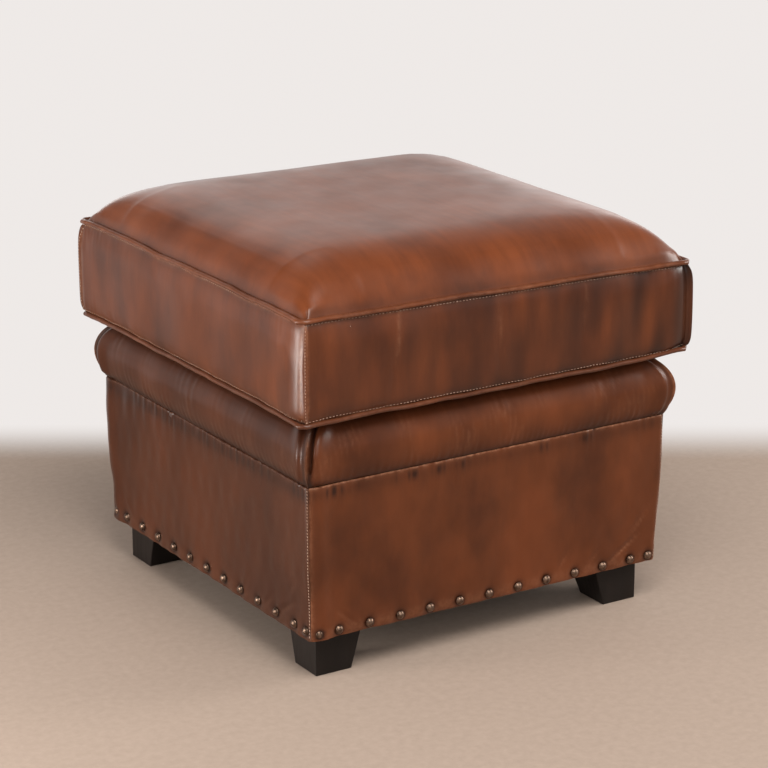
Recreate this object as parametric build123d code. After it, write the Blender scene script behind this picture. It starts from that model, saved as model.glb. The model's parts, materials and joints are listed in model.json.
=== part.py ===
from build123d import *
from math import asin, cos, sin, sqrt
import os

# A square leather footstool: a loose piped cushion on an upholstered box with four block feet.
# Millimetres. The origin is on the floor under the middle, +Z is up and the front faces -Y.

# Overall sizes
cushion_side = 580.0  # across the welts
cushion_overhang = 27.5  # of the welts past the frame boards
foot_height = 57.2  # floor to the dust cover
panel_height = 202.0  # underside of the frame to the seam under the roll
roll_height = 82.0  # that seam to the deck
box_height = 126.0  # between the centres of the cushion's two welts
crown_height = 58.0  # rise of the cushion's top over its upper welt

# Sheet goods and clearances
leather = 1.5
cloth = 1.0
dust_cover_thickness = 0.8
soft_gap = 0.3  # between soft layers
hole_gap = 0.05  # round nails, screws and bolts, on the radius
rest_gap = 0.3  # cushion above the deck

# Frame
board_thickness = 18.0
frame_corner_radius = 4.0
corner_block_leg = 35.0
corner_plate_leg = 130.0
corner_plate_thickness = 18.0
screw_diameter = 4.0
screw_head_diameter = 8.0
screw_length = 50.0
screw_edge_distance = 45.0  # from the board's top and bottom edges

# Feet and their fixings
foot_inset = 14.6  # outer face of the foot behind the face of the frame
foot_top_width = 68.0
foot_bottom_width = 52.0
foot_edge_radius = 1.5
foot_base_chamfer = 0.8
bolt_diameter = 8.0
bolt_depth_in_foot = 32.0
bolt_tip_length = 6.0
bolt_projection = 4.0  # above the corner plate
tee_nut_flange_diameter = 20.0
tee_nut_flange_thickness = 1.6
tee_nut_barrel_diameter = 10.5
tee_nut_barrel_length = 12.0

# Deck under the cushion
strap_count = 5  # each way
strap_width = 50.0
strap_thickness = 2.5
strap_weave_gap = 0.3
strap_flat_margin = 2.0  # flat stretch past the edges of a crossing strap
strap_end_inset = 1.0
deck_foam_thickness = 28.0

# Padded roll round the top of the base
roll_reach = 17.0  # bulge in front of the frame's face
roll_seam_reach = 7.0  # the seam under the roll, in front of the frame's face
roll_radius = 46.0
roll_width = 50.0  # from the frame's face in to the deck

# Padded side panels
wadding_foot = 1.2
wadding_top = 6.0
wadding_bulge = 1.8  # of the padded face in front of a straight line
nail_strip = 24.0  # flat strip at the foot of the panel
turn_under = 10.0  # leather under the frame

# Nail trim
nails_per_side = 13
nail_head_diameter = 11.4
nail_head_height = 4.2
nail_shank_diameter = 1.8
nail_length = 12.0
nail_rise = 6.5  # above the frame's underside, front and back
nail_stagger = 3.0  # left and right rows sit higher, so that the corner shanks miss each other
nail_corner_inset = 8.5  # last nail from the frame's corner
nail_corner_pitch = 29.0  # last nail from its neighbour

# Cushion
welt_diameter = 8.0
welt_cord_diameter = 5.0
cushion_corner_radius = 14.0  # in plan, outside the welts
boxing_bulge = 3.0
crown_edge_power = 6.0  # how far the flat top reaches to the edge
crown_rise_power = 0.4  # how steeply the edge rises
crown_levels = [0.0, 0.22, 0.45, 0.65, 0.82, 0.93, 0.98]  # sections of the crown, as shares of its rise

# Levels and half widths worked out from the sizes above
frame_side = cushion_side - 2 * cushion_overhang
frame_bottom = foot_height + dust_cover_thickness
seam_level = frame_bottom + panel_height
deck_level = seam_level + roll_height
deck_foam_top = deck_level - cloth - soft_gap
hessian_top = deck_foam_top - deck_foam_thickness - soft_gap
strap_step = strap_thickness + strap_weave_gap
frame_top = hessian_top - cloth - soft_gap - strap_thickness - strap_step
frame_half = frame_side / 2
inner_half = frame_half - board_thickness
frame_corner_centre = frame_half - frame_corner_radius
foot_outer = frame_half - foot_inset
foot_centre = foot_outer - foot_top_width / 2
plate_top = frame_bottom + corner_plate_thickness
wadding_back = frame_half + soft_gap
panel_foot_face = wadding_back + wadding_foot + soft_gap + leather

cushion_half = cushion_side / 2
welt_radius = welt_diameter / 2
cushion_corner_centre = cushion_half - cushion_corner_radius
welt_centre = cushion_half - welt_radius
cushion_bottom = deck_level + rest_gap
lower_welt_level = cushion_bottom + welt_radius
upper_welt_level = lower_welt_level + box_height
cover_half = welt_centre - welt_radius - soft_gap  # the panels end just inside the welts
cover_corner_radius = cover_half - cushion_corner_centre
filling_half = cover_half - leather - soft_gap

sides = {"front": 0, "right": 90, "back": 180, "left": 270}
corners = {"front_left": 0, "front_right": 90, "back_right": 180, "back_left": 270}
front_plane = Plane((0, 0, 0), x_dir=(0, -1, 0), z_dir=(-1, 0, 0))  # x out of the front, y up
standing = (Align.CENTER, Align.CENTER, Align.MIN)


def turned(shape, angle):
    """A piece of the front side, or of the front left corner, turned round to another one."""
    return Rot(0, 0, angle) * shape


def section(*edges):
    """A closed face in the front plane: distance out from the middle, and height."""
    return front_plane * make_face(edges)


def rounded_side(profile, corner_centre):
    """One side of a square ring with rounded corners, ending halfway round its two corners."""
    side = extrude(profile, amount=corner_centre, both=True)
    for end in (-1, 1):
        axis = Axis((end * corner_centre, -corner_centre, 0), (0, 0, end))
        side += revolve(Pos(end * corner_centre, 0, 0) * profile, axis, 45)
    return side


def mitre_wedge(reach):
    """Everything in front of the two diagonals."""
    outline = Polyline((0, 0), (-reach, -reach), (reach, -reach), close=True)
    return extrude(make_face(outline), amount=deck_level)


def mitred_side(profile, reach):
    """One side of a square ring with mitred corners."""
    return extrude(profile, amount=reach, both=True) & mitre_wedge(reach)


def ring(profile, corner_centre):
    """A whole square ring with rounded corners."""
    side = rounded_side(profile, corner_centre)
    return Part() + [turned(side, angle) for angle in sides.values()]


def sheet(side, level, thickness, corner_radius=0.0):
    """A flat square sheet that lies on a level."""
    outline = RectangleRounded(side, side, corner_radius) if corner_radius else Rectangle(side, side)
    return Pos(0, 0, level) * extrude(outline, amount=thickness)


# Nails: domed heads on straight shanks, driven along +Y from the face of the panel
def nail():
    head = nail_head_diameter / 2
    shank = nail_shank_diameter / 2
    dome_radius = (head**2 + nail_head_height**2) / (2 * nail_head_height)
    half_angle = asin(head / dome_radius) / 2
    middle = (dome_radius * sin(half_angle), dome_radius - nail_head_height - dome_radius * cos(half_angle))
    dome = ThreePointArc((head, 0), middle, (0, -nail_head_height))
    point = (shank, nail_length - shank)
    stem = Polyline((0, -nail_head_height), (0, nail_length), point, (shank, 0), (head, 0))
    return revolve(make_face([dome, stem]), Axis.Y)


def nail_hole():
    radius = nail_shank_diameter / 2 + hole_gap
    return Rot(-90, 0, 0) * Cylinder(radius, nail_length + hole_gap, align=standing)


def nail_positions():
    last = frame_half - nail_corner_inset
    inner = last - nail_corner_pitch
    inner_count = nails_per_side - 2
    step = 2 * inner / (inner_count - 1)
    return [-last] + [-inner + step * i for i in range(inner_count)] + [last]


def nail_row(shape, name):
    """Copies of a nail, or of its hole, along one side."""
    z = frame_bottom + nail_rise + (nail_stagger if name in ("left", "right") else 0)
    return [turned(Pos(x, -panel_foot_face, z) * shape, sides[name]) for x in nail_positions()]


# Frame: front and back boards run the full width, and the left and right ones stand between them
def screw(gap=0.0):
    """A countersunk screw along +Y, its head flush with y = 0. A gap makes it the hole."""
    shank = screw_diameter / 2 + gap
    head = screw_head_diameter / 2 + gap
    tip = screw_length + gap
    outline = Polyline((0, 0), (head, 0), (shank, head - shank), (shank, tip), (0, tip), close=True)
    return revolve(make_face(outline), Axis.Y)


def screw_set(shape):
    """Two screws, or their holes, at each end of the front and back boards."""
    x = frame_half - board_thickness / 2
    levels = (frame_bottom + screw_edge_distance, frame_top - screw_edge_distance)
    places = [Pos(end * x, -frame_half, z) for end in (-1, 1) for z in levels]
    return [turned(place * shape, angle) for angle in (sides["front"], sides["back"]) for place in places]


def frame_boards():
    height = frame_top - frame_bottom
    outline = sheet(frame_side, frame_bottom, height, frame_corner_radius)
    place = Pos(0, board_thickness / 2 - frame_half, frame_bottom)
    full = place * Box(frame_side, board_thickness, height, align=standing) & outline
    between = place * Box(2 * inner_half, board_thickness, height, align=standing)
    holes = screw_set(screw(hole_gap))
    for name in sides:
        holes += nail_row(nail_hole(), name)
    boards = {}
    for name, angle in sides.items():
        board = turned(full if name in ("front", "back") else between, angle)
        near = board.bounding_box()
        boards[name] = board - [hole for hole in holes if hole.bounding_box().overlaps(near)]
    return boards


def corner_block():
    """A triangular glue block in the front left corner."""
    tip = -inner_half
    far = tip + corner_block_leg
    outline = make_face(Polyline((tip, tip), (far, tip), (tip, far), close=True))
    return Pos(0, 0, plate_top) * extrude(outline, amount=frame_top - plate_top)


def corner_plate():
    """The plate in the front left corner that carries a foot, with the hole for its tee nut."""
    tip = -inner_half
    far = tip + corner_plate_leg
    outline = make_face(Polyline((tip, tip), (far, tip), (tip, far), close=True))
    hole = Pos(-foot_centre, -foot_centre) * Circle(tee_nut_barrel_diameter / 2 + hole_gap)
    return Pos(0, 0, frame_bottom) * extrude(outline - hole, amount=corner_plate_thickness)


# Feet: the two outer faces upright, the two inner ones tapered, each with a hanger bolt up its middle
def foot():
    outline = Polyline(
        (-foot_outer, 0),
        (-foot_outer + foot_bottom_width, 0),
        (-foot_outer + foot_top_width, foot_height),
        (-foot_outer, foot_height),
        close=True,
    )
    profile = make_face(outline)
    across = extrude(Plane.XZ * profile, amount=frame_half, both=True)
    along = extrude(Plane.YZ * profile, amount=frame_half, both=True)
    block = across & along
    upright = [edge for edge in block.edges() if 0 < edge.center().Z < foot_height]
    block = fillet(upright, foot_edge_radius)
    block = chamfer(block.edges().group_by(Axis.Z)[0], foot_base_chamfer)
    bore = Pos(-foot_centre, -foot_centre, foot_height - bolt_depth_in_foot - hole_gap) * Cylinder(
        bolt_diameter / 2 + hole_gap, bolt_depth_in_foot + hole_gap, align=standing
    )
    return block - bore


def hanger_bolt():
    radius = bolt_diameter / 2
    top = plate_top + bolt_projection
    point = foot_height - bolt_depth_in_foot
    outline = Polyline(
        (0, point),
        (radius / 2, point),
        (radius, point + bolt_tip_length),
        (radius, top - radius / 2),
        (radius / 2, top),
        (0, top),
        close=True,
    )
    return Pos(-foot_centre, -foot_centre) * revolve(Plane.XZ * make_face(outline), Axis.Z)


def tee_nut():
    profile = Polyline(
        (bolt_diameter / 2 + hole_gap, plate_top - tee_nut_barrel_length),
        (tee_nut_barrel_diameter / 2, plate_top - tee_nut_barrel_length),
        (tee_nut_barrel_diameter / 2, plate_top),
        (tee_nut_flange_diameter / 2, plate_top),
        (tee_nut_flange_diameter / 2, plate_top + tee_nut_flange_thickness),
        (bolt_diameter / 2 + hole_gap, plate_top + tee_nut_flange_thickness),
        close=True,
    )
    return Pos(-foot_centre, -foot_centre) * revolve(Plane.XZ * make_face(profile), Axis.Z)


# Deck: interlaced webbing over the frame, hessian, foam and a cloth that joins the roll's leather
def strap_centres():
    pitch = 2 * inner_half / strap_count
    return [pitch * (i - (strap_count - 1) / 2) for i in range(strap_count)]


def strap(index, phase):
    """One strap along X, over and under the straps that cross it."""
    end = frame_half - strap_end_inset
    flat = strap_width / 2 + strap_flat_margin
    line = [(-end, frame_top), (-inner_half, frame_top)]
    for crossing, x in enumerate(strap_centres()):
        over = (index + crossing + phase) % 2 == 0
        z = frame_top + (strap_step if over else 0)
        line += [(x - flat, z), (x + flat, z)]
    line += [(inner_half, frame_top), (end, frame_top)]
    upper = [(x, z + strap_thickness) for x, z in reversed(line)]
    profile = Plane.XZ * make_face(Polyline(*line, *upper, close=True))
    return Pos(0, strap_centres()[index], 0) * extrude(profile, amount=strap_width / 2, both=True)


def webbing(phase, angle):
    return [turned(strap(i, phase), angle) for i in range(strap_count)]


def dust_cover():
    cover = sheet(2 * (frame_half - turn_under - soft_gap), foot_height, dust_cover_thickness)
    hole = Pos(-foot_centre, -foot_centre, foot_height) * Cylinder(
        bolt_diameter / 2 + soft_gap, dust_cover_thickness, align=standing
    )
    return cover - [turned(hole, angle) for angle in corners.values()]


# Side panels: wadding that thins to the flat nail strip, under leather that is turned in at top and foot
def padded_face(offset, top):
    """The padded face at some depth: a straight strip at the foot, then one arc up to the top."""
    foot_reach = wadding_back + wadding_foot + offset
    top_reach = wadding_back + wadding_top + offset
    strip_top = frame_bottom + nail_strip
    middle = ((foot_reach + top_reach) / 2 + wadding_bulge, (strip_top + top) / 2)
    strip = Line((foot_reach, frame_bottom), (foot_reach, strip_top))
    return strip, ThreePointArc((foot_reach, strip_top), middle, (top_reach, top))


def side_wadding(name):
    top = seam_level - leather - 2 * soft_gap
    strip, arc = padded_face(0, top)
    back = Polyline(arc @ 1, (wadding_back, top), (wadding_back, frame_bottom), strip @ 0)
    wadding = turned(rounded_side(section(strip, arc, back), frame_corner_centre), sides[name])
    return wadding - nail_row(nail_hole(), name)


def side_panel(name):
    top = seam_level - soft_gap
    inner_strip, inner_arc = padded_face(soft_gap, top - leather)
    outer_strip, outer_arc = padded_face(soft_gap + leather, top)
    allowance_end = [(wadding_back, top), (wadding_back, top - leather)]
    seam_allowance = Polyline(outer_arc @ 1, *allowance_end, inner_arc @ 1)
    skin = section(
        outer_strip, outer_arc, seam_allowance, inner_arc, inner_strip, Line(inner_strip @ 0, outer_strip @ 0)
    )
    foot_radius = panel_foot_face - frame_corner_centre
    turned_in = sheet(2 * panel_foot_face, frame_bottom - leather, leather, foot_radius)
    turned_in -= sheet(2 * (frame_half - turn_under), frame_bottom - leather, leather)
    panel = rounded_side(skin, frame_corner_centre) + (turned_in & mitre_wedge(2 * frame_half))
    return turned(panel, sides[name]) - nail_row(nail_hole(), name)


# Roll: two tangent arcs up from the seam, then flat in to the deck
def roll_face(inset):
    """The roll's outline at some depth under its leather, from the seam up and in to the deck."""
    bulge = frame_half + roll_reach
    bulge_level = deck_level - roll_radius
    drop = bulge_level - seam_level
    draw = roll_reach - roll_seam_reach
    lower_radius = (draw**2 + drop**2) / (2 * draw) - inset
    upper_radius = roll_radius - inset
    lower_centre = bulge - inset - lower_radius
    upper_centre = bulge - inset - upper_radius
    half_angle = asin((drop - inset) / lower_radius) / 2
    seam = (lower_centre + lower_radius * cos(2 * half_angle), seam_level + inset)
    middle = (lower_centre + lower_radius * cos(half_angle), bulge_level - lower_radius * sin(half_angle))
    lower = ThreePointArc(seam, middle, (bulge - inset, bulge_level))
    shoulder = upper_radius * sqrt(0.5)
    top = (upper_centre, bulge_level + upper_radius)
    upper_middle = (upper_centre + shoulder, bulge_level + shoulder)
    upper = ThreePointArc((bulge - inset, bulge_level), upper_middle, top)
    flat = Line(top, (frame_half - roll_width, bulge_level + upper_radius))
    return lower, upper, flat


def roll_cover():
    outer = roll_face(0)
    inner = roll_face(leather)
    seam_allowance = Polyline(
        outer[0] @ 0, (wadding_back, seam_level), (wadding_back, seam_level + leather), inner[0] @ 0
    )
    deck_edge = Line(outer[2] @ 1, inner[2] @ 1)
    return mitred_side(section(*outer, deck_edge, *inner, seam_allowance), frame_half + 2 * roll_reach)


def roll_foam():
    face = roll_face(leather + soft_gap)
    ledge = hessian_top + soft_gap
    seam = face[0] @ 0
    ledge_line = [(frame_half - roll_width, ledge), (wadding_back, ledge), (wadding_back, seam.Y)]
    back = Polyline(face[2] @ 1, *ledge_line, seam)
    return mitred_side(section(*face, back), frame_half + 2 * roll_reach)


# Cushion: a crowned top, boxing that swells between the welts, and a flat bottom
def crown(inset):
    """The crown over the upper welt at some depth: rounded squares that shrink as they rise."""
    half = cover_half - inset
    rise = crown_height - inset
    slices = []
    for share in crown_levels:
        edge = (1 - share ** (1 / crown_rise_power)) ** (1 / crown_edge_power)
        diagonal = (1 - sqrt(share) ** (1 / crown_rise_power)) ** (1 / crown_edge_power)
        radius = cover_corner_radius - inset + half * (edge - diagonal) / (1 - sqrt(0.5))
        level = upper_welt_level + rise * share / crown_levels[-1]
        slices.append(Pos(0, 0, level) * RectangleRounded(2 * half * edge, 2 * half * edge, radius))
    return loft(slices)


def boxing_strip():
    low = lower_welt_level + welt_radius + soft_gap
    high = upper_welt_level - welt_radius - soft_gap
    middle = (low + high) / 2
    outer = ThreePointArc((welt_centre, low), (welt_centre + boxing_bulge, middle), (welt_centre, high))
    back = welt_centre - leather
    inner = ThreePointArc((back, low), (back + boxing_bulge, middle), (back, high))
    profile = section(outer, Line(outer @ 1, inner @ 1), inner, Line(inner @ 0, outer @ 0))
    return rounded_side(profile, cushion_corner_centre)


def welt(level, outer_diameter, inner_diameter=0.0):
    """A round piping all round the cushion. With an inner diameter it is the sleeve over a cord."""
    profile = Circle(outer_diameter / 2)
    if inner_diameter:
        profile -= Circle(inner_diameter / 2)
    return ring(front_plane * Pos(welt_centre, level) * profile, cushion_corner_centre)


def cushion_foam():
    """A block whose sides swell to back the boxing."""
    bottom = cushion_bottom + leather + soft_gap
    swell = welt_centre + boxing_bulge - leather - soft_gap
    middle = (bottom + upper_welt_level) / 2
    slices = []
    for half, level in ((filling_half, bottom), (swell, middle), (filling_half, upper_welt_level)):
        slices.append(Pos(0, 0, level) * RectangleRounded(2 * half, 2 * half, half - cushion_corner_centre))
    return loft(slices)


def make_parts():
    """Every node by its name: one solid, or a list of separate solids."""
    parts = {}
    boards = frame_boards()
    cover_strip = roll_cover()
    foam_strip = roll_foam()
    boxing = boxing_strip()
    for name, angle in sides.items():
        parts[f"frame_board_{name}"] = boards[name]
        parts[f"side_wadding_{name}"] = side_wadding(name)
        parts[f"side_panel_{name}"] = side_panel(name)
        parts[f"nails_{name}"] = nail_row(nail(), name)
        parts[f"roll_foam_{name}"] = turned(foam_strip, angle)
        parts[f"roll_cover_{name}"] = turned(cover_strip, angle)
        parts[f"cushion_boxing_{name}"] = turned(boxing, angle)

    for name, angle in corners.items():
        parts[f"corner_block_{name}"] = turned(corner_block(), angle)
        parts[f"corner_plate_{name}"] = turned(corner_plate(), angle)
        parts[f"foot_{name}"] = turned(foot(), angle)
    parts["hanger_bolts"] = [turned(hanger_bolt(), angle) for angle in corners.values()]
    parts["tee_nuts"] = [turned(tee_nut(), angle) for angle in corners.values()]
    parts["frame_screws"] = screw_set(screw())

    parts["webbing_crosswise"] = webbing(0, 0)
    parts["webbing_lengthwise"] = webbing(strap_count, 90)
    parts["hessian"] = sheet(2 * (frame_half - strap_end_inset), hessian_top - cloth, cloth)
    deck_half = frame_half - roll_width - soft_gap
    parts["deck_foam"] = sheet(2 * deck_half, deck_foam_top - deck_foam_thickness, deck_foam_thickness)
    parts["deck_cloth"] = sheet(2 * deck_half, deck_level - cloth, cloth)
    parts["dust_cover"] = dust_cover()

    parts["cushion_top_panel"] = crown(0) - crown(leather)
    parts["cushion_fibre_wrap"] = crown(leather + soft_gap)
    parts["cushion_foam"] = cushion_foam()
    parts["cushion_bottom_panel"] = sheet(2 * cover_half, cushion_bottom, leather, cover_corner_radius)
    for name, level in (("top", upper_welt_level), ("bottom", lower_welt_level)):
        sleeve_bore = welt_cord_diameter + 2 * soft_gap
        parts[f"cushion_welt_{name}"] = welt(level, welt_diameter, sleeve_bore)
        parts[f"welt_cord_{name}"] = welt(level, welt_cord_diameter)
    return parts


os.makedirs("parts", exist_ok=True)
for node, shape in make_parts().items():
    solid = Compound(children=shape) if isinstance(shape, list) else shape
    export_step(solid, os.path.join("parts", f"{node}.step"))
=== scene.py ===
import bpy
import json
import math
import numpy as np
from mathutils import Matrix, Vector

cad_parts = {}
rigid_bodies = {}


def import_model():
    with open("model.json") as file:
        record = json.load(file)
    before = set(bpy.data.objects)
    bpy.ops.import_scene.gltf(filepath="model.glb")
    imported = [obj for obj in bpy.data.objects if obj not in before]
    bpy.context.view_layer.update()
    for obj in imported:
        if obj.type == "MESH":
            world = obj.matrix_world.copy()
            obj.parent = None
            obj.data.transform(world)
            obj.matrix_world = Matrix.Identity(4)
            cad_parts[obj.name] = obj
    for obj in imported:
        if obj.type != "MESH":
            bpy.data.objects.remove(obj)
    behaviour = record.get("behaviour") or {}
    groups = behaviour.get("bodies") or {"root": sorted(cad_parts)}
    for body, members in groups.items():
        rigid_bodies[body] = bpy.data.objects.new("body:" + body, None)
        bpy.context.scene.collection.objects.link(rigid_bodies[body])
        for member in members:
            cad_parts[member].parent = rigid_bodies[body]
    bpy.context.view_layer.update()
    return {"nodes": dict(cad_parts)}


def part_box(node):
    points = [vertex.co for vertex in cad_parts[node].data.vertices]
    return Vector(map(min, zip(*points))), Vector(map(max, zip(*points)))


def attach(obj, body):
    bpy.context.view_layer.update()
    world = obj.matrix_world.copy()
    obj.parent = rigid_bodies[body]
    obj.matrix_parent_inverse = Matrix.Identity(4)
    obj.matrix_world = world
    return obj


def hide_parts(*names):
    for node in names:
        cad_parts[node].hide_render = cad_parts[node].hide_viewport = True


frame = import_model()
sides = ("front", "right", "back", "left")
print("frame loaded:", len(frame["nodes"]), "solids")


# small helpers for modelling

def clearSelection():
    if bpy.context.object and bpy.context.object.mode != "OBJECT":
        bpy.ops.object.mode_set(mode="OBJECT")
    bpy.ops.object.select_all(action="DESELECT")


def takeUp(piece):  # make one piece the selected and active one
    clearSelection()
    piece.select_set(True)
    bpy.context.view_layer.objects.active = piece


def namePiece(name):
    piece = bpy.context.object
    piece.name = name
    piece.data.name = name
    return piece


def settle(piece):  # the place goes into the mesh, the object stays at the origin
    takeUp(piece)
    bpy.ops.object.transform_apply(location=True, rotation=True, scale=True)


def readVectors(items, name):
    flat = np.empty(len(items) * 3, dtype=np.float32)
    items.foreach_get(name, flat)
    return flat.reshape(-1, 3).astype(float)


def readPoints(piece):
    return readVectors(piece.data.vertices, "co")


def writePoints(piece, points):
    piece.data.vertices.foreach_set("co", points.astype(np.float32).ravel())
    piece.data.update()


def cutAlong(piece, axis, parts):  # divide the edges that run along one axis
    mesh = piece.data
    points = readPoints(piece)
    ends = np.empty(len(mesh.edges) * 2, dtype=np.int32)
    mesh.edges.foreach_get("vertices", ends)
    ends = ends.reshape(-1, 2)
    run = np.abs(points[ends[:, 1]] - points[ends[:, 0]])
    picked = (run[:, axis] > 1e-7) & (run.argmax(axis=1) == axis)
    takeUp(piece)
    mesh.vertices.foreach_set("select", np.zeros(len(mesh.vertices), dtype=bool))
    mesh.polygons.foreach_set("select", np.zeros(len(mesh.polygons), dtype=bool))
    mesh.edges.foreach_set("select", picked)
    bpy.context.tool_settings.mesh_select_mode = (False, True, False)
    bpy.ops.object.mode_set(mode="EDIT")
    bpy.ops.mesh.subdivide(number_cuts=parts - 1, smoothness=0, quadcorner="STRAIGHT_CUT")
    bpy.ops.object.mode_set(mode="OBJECT")


def blockOut(name, low, high, parts):  # a cube at its size and place, cut into even rows
    clearSelection()
    low, high = Vector(low), Vector(high)
    bpy.ops.mesh.primitive_cube_add(size=1, location=(low + high) / 2)
    piece = namePiece(name)
    piece.scale = high - low
    settle(piece)
    for axis in range(3):
        for count in parts[axis]:
            cutAlong(piece, axis, count)
    return piece


def faceOutward(piece):
    takeUp(piece)
    bpy.ops.object.mode_set(mode="EDIT")
    bpy.ops.mesh.select_all(action="SELECT")
    bpy.ops.mesh.normals_make_consistent(inside=False)
    bpy.ops.object.mode_set(mode="OBJECT")


def roundOver(piece, angle):
    takeUp(piece)
    bpy.ops.object.shade_smooth_by_angle(angle=math.radians(angle))


def subdivideOnce(piece):
    takeUp(piece)
    smooth = piece.modifiers.new("smooth", "SUBSURF")
    smooth.levels = smooth.render_levels = 1
    bpy.ops.object.modifier_apply(modifier=smooth.name)


def smoothOver(piece, picked, times):  # relax the picked points
    takeUp(piece)
    mesh = piece.data
    mesh.polygons.foreach_set("select", np.zeros(len(mesh.polygons), dtype=bool))
    mesh.edges.foreach_set("select", np.zeros(len(mesh.edges), dtype=bool))
    mesh.vertices.foreach_set("select", picked)
    bpy.context.tool_settings.mesh_select_mode = (True, False, False)
    bpy.ops.object.mode_set(mode="EDIT")
    bpy.ops.mesh.vertices_smooth(factor=0.5, repeat=times)
    bpy.ops.object.mode_set(mode="OBJECT")


def paint(piece, name, values):  # a value per point, read by the leather finish
    layer = piece.data.attributes.new(name, "FLOAT", "POINT")
    layer.data.foreach_set("value", np.clip(values, 0, 1).astype(np.float32))


def ripple(coords, seed):  # smooth seeded waviness, coords in wavelengths
    waves = 7
    draw = np.random.default_rng(seed)
    turn = draw.normal(size=(waves, coords.shape[1]))
    turn /= np.linalg.norm(turn, axis=1)[:, None]
    turn *= draw.uniform(0.65, 1.5, waves)[:, None]
    start = draw.uniform(0, 2 * math.pi, waves)
    return np.sin(2 * math.pi * coords @ turn.T + start).sum(axis=1) / math.sqrt(waves)


def waviness(place, size, seed):  # ripples of one height, with a wavelength for each axis
    height, length = size
    return height * ripple(place / np.asarray(length), seed)


def columns(*parts):
    return np.stack(parts, axis=1)


def fade(distance, reach):
    return np.exp(-np.abs(distance) / reach)


def bump(distance, reach):
    return np.exp(-(distance / reach) ** 2)


def ease(value, start, end):
    t = np.clip((value - start) / (end - start), 0, 1)
    return t * t * (3 - 2 * t)


def turnSide(points, quarter):  # front to right, back and left
    turned = points.copy()
    for _ in range(quarter):
        turned = columns(-turned[:, 1], turned[:, 0], turned[:, 2])
    return turned


def squarePath(t, half, radius):  # point and outward normal on a rounded square, t from 0 to 1
    run = 2 * (half - radius)
    arc = math.pi / 2 * radius
    s = (np.asarray(t) % 1) * 4 * (run + arc)
    quarter = np.floor(s / (run + arc)).astype(int)
    s = s - quarter * (run + arc)
    swing = np.clip((s - run) / radius, 0, math.pi / 2)
    x = np.where(s < run, s - run / 2, run / 2 + radius * np.sin(swing))
    y = np.where(s < run, -half, -half + radius * (1 - np.cos(swing)))
    nx, ny = np.sin(swing), -np.cos(swing)
    for step in (1, 2, 3):
        turn = quarter >= step
        x, y = np.where(turn, -y, x), np.where(turn, x, y)
        nx, ny = np.where(turn, -ny, nx), np.where(turn, nx, ny)
    return x, y, nx, ny


# finishes

def newFinish(name):
    finish = bpy.data.materials.new(name)
    finish.use_nodes = True
    return finish, finish.node_tree, finish.node_tree.nodes["Principled BSDF"]


def addNode(tree, kind, sockets=None, **settings):
    node = tree.nodes.new(kind)
    for key, value in settings.items():
        setattr(node, key, value)
    for key, value in (sockets or {}).items():
        if isinstance(value, bpy.types.NodeSocket):
            tree.links.new(value, node.inputs[key])
        else:
            node.inputs[key].default_value = value
    return node


def objectCoords(tree, stretch=(1, 1, 1), turn=(0, 0, 0)):
    place = addNode(tree, "ShaderNodeTexCoord").outputs["Object"]
    sockets = {"Vector": place, "Scale": stretch, "Rotation": turn}
    return addNode(tree, "ShaderNodeMapping", sockets).outputs["Vector"]


def noise(tree, coords, scale, detail, rough):
    sockets = {"Vector": coords, "Scale": scale, "Detail": detail, "Roughness": rough}
    return addNode(tree, "ShaderNodeTexNoise", sockets).outputs["Fac"]


def ramp(tree, value, stops):
    node = addNode(tree, "ShaderNodeValToRGB", {"Fac": value})
    bands = node.color_ramp.elements
    while len(bands) < len(stops):
        bands.new(0.5)
    for band, (place, colour) in zip(bands, stops):
        band.position = place
        band.color = (*colour, 1)
    return node.outputs["Color"]


def grey(value):
    return (value, value, value)


def blendColour(tree, kind, factor, first, second):
    node = addNode(tree, "ShaderNodeMix", data_type="RGBA", blend_type=kind)
    for socket, value in ((node.inputs[0], factor), (node.inputs[6], first), (node.inputs[7], second)):
        if isinstance(value, bpy.types.NodeSocket):
            tree.links.new(value, socket)
        else:
            socket.default_value = value if isinstance(value, float) else (*value, 1)
    return node.outputs[2]


def sums(tree, operation, first, second):
    node = addNode(tree, "ShaderNodeMath", {0: first, 1: second}, operation=operation)
    return node.outputs[0]


def attributeOf(tree, name):
    return addNode(tree, "ShaderNodeAttribute", attribute_name=name).outputs["Fac"]


def bumpOn(tree, shader, height, strength, distance):
    sockets = {"Height": height, "Strength": strength, "Distance": distance}
    tree.links.new(addNode(tree, "ShaderNodeBump", sockets).outputs["Normal"], shader.inputs["Normal"])


def mapped(tree, value, ends, results):  # a value stretched from one span to another
    sockets = {"Value": value, "From Min": ends[0], "From Max": ends[1], "To Min": results[0], "To Max": results[1]}
    return addNode(tree, "ShaderNodeMapRange", sockets).outputs["Result"]


def tones(tree, coords, grain, darkest, lightest):  # noise turned into greys
    (start, dark), (end, light) = darkest, lightest
    return ramp(tree, noise(tree, coords, *grain), [(start, grey(dark)), (end, grey(light))])


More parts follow.
